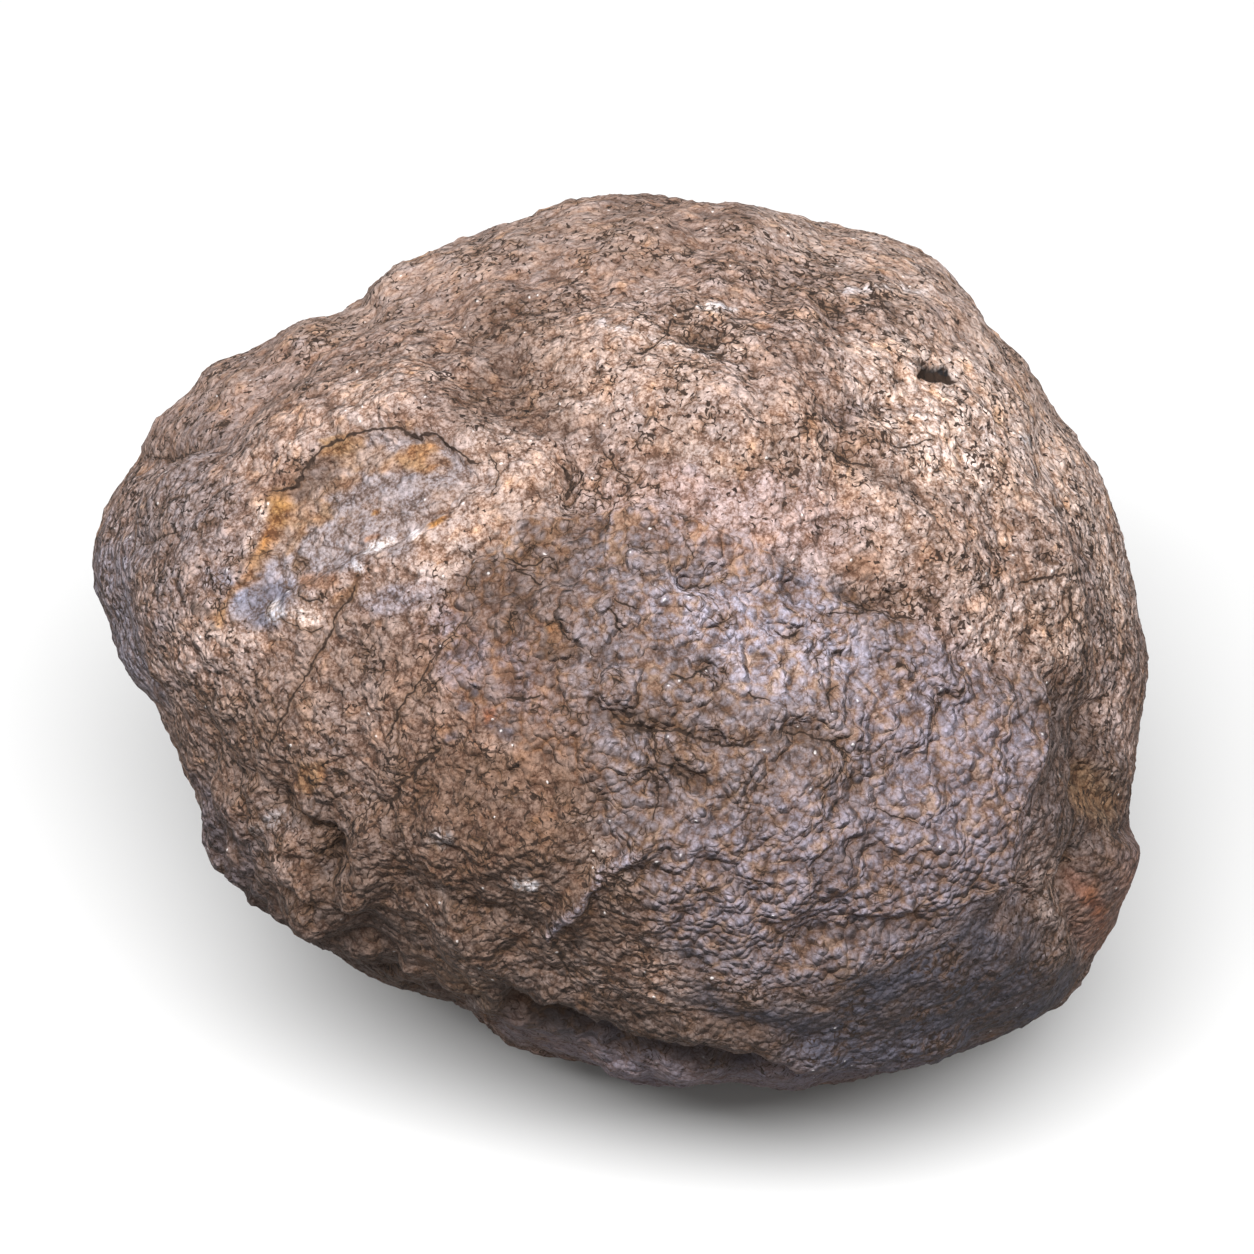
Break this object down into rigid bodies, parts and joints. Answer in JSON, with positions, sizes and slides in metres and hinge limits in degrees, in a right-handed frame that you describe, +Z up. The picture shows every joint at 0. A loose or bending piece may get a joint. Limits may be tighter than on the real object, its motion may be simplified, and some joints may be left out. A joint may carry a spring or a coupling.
{
  "type": "geode",
  "caption": "Whole uncut geode: a lumpy brown nodule with a bare grey-mauve face, a broken patch and an overhanging lower lip, lying on a small flat spot.",
  "frame": {"origin": "on the resting plane, under the middle of the nodule's box", "axes": "+Z up, +X along the nodule's length with the narrow end at -X, -Y towards the side with the grey face"},
  "size_m": [0.1518, 0.1412, 0.1198],
  "materials": {
    "rind": "rough, dull, with fine sparkle"
  },
  "bodies": {
    "root": {"geode": "rind"}
  },
  "joints": []
}
